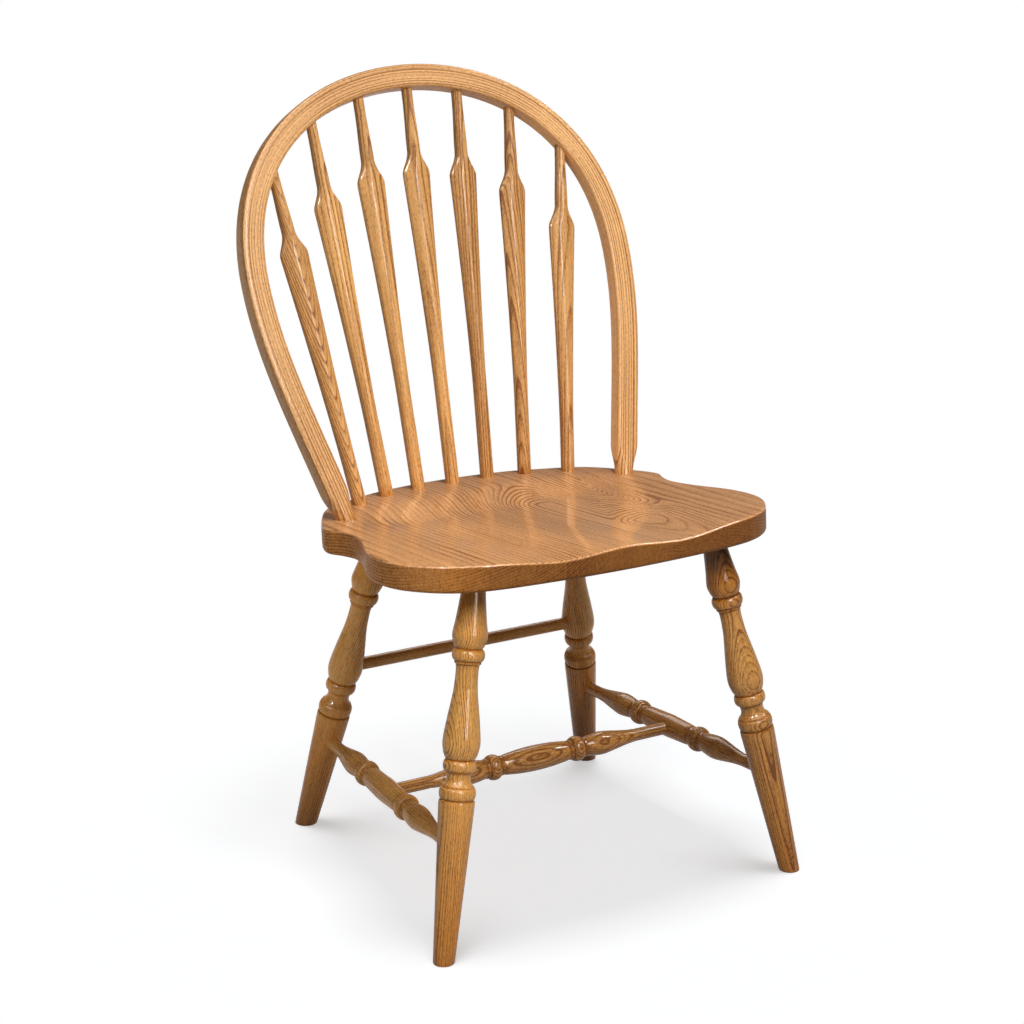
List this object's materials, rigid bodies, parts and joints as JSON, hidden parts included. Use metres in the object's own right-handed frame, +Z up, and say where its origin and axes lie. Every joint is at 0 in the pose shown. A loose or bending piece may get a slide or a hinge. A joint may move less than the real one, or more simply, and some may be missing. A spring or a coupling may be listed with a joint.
{
  "type": "spindle back chair",
  "caption": "Wooden bow-back side chair with a saddled seat, a bent hoop holding flat arrow-shaped spindles, splayed turned legs and turned stretchers in an H.",
  "frame": {"origin": "on the floor, in the middle of the chair's overall width and depth", "axes": "+Z up, -Y the way the sitter faces, +X to the right of someone looking at the chair's front"},
  "size_m": [0.533, 0.55, 0.9326],
  "materials": {
    "seat_oak": "satin lacquer",
    "bow_oak": "satin lacquer",
    "spindle_oak": "satin lacquer",
    "turned_oak": "satin lacquer"
  },
  "bodies": {
    "root": {"seat_board_1": "seat_oak", "seat_board_2": "seat_oak", "seat_board_3": "seat_oak", "seat_board_4": "seat_oak", "seat_board_5": "seat_oak", "seat_board_6": "seat_oak", "bow": "bow_oak", "spindle_1": "spindle_oak", "spindle_2": "spindle_oak", "spindle_3": "spindle_oak", "spindle_4": "spindle_oak", "spindle_5": "spindle_oak", "spindle_6": "spindle_oak", "spindle_7": "spindle_oak", "front_leg_left": "turned_oak", "front_leg_right": "turned_oak", "rear_leg_left": "turned_oak", "rear_leg_right": "turned_oak", "side_stretcher_left": "turned_oak", "side_stretcher_right": "turned_oak", "centre_stretcher": "turned_oak", "rear_stretcher": "turned_oak"}
  },
  "joints": []
}
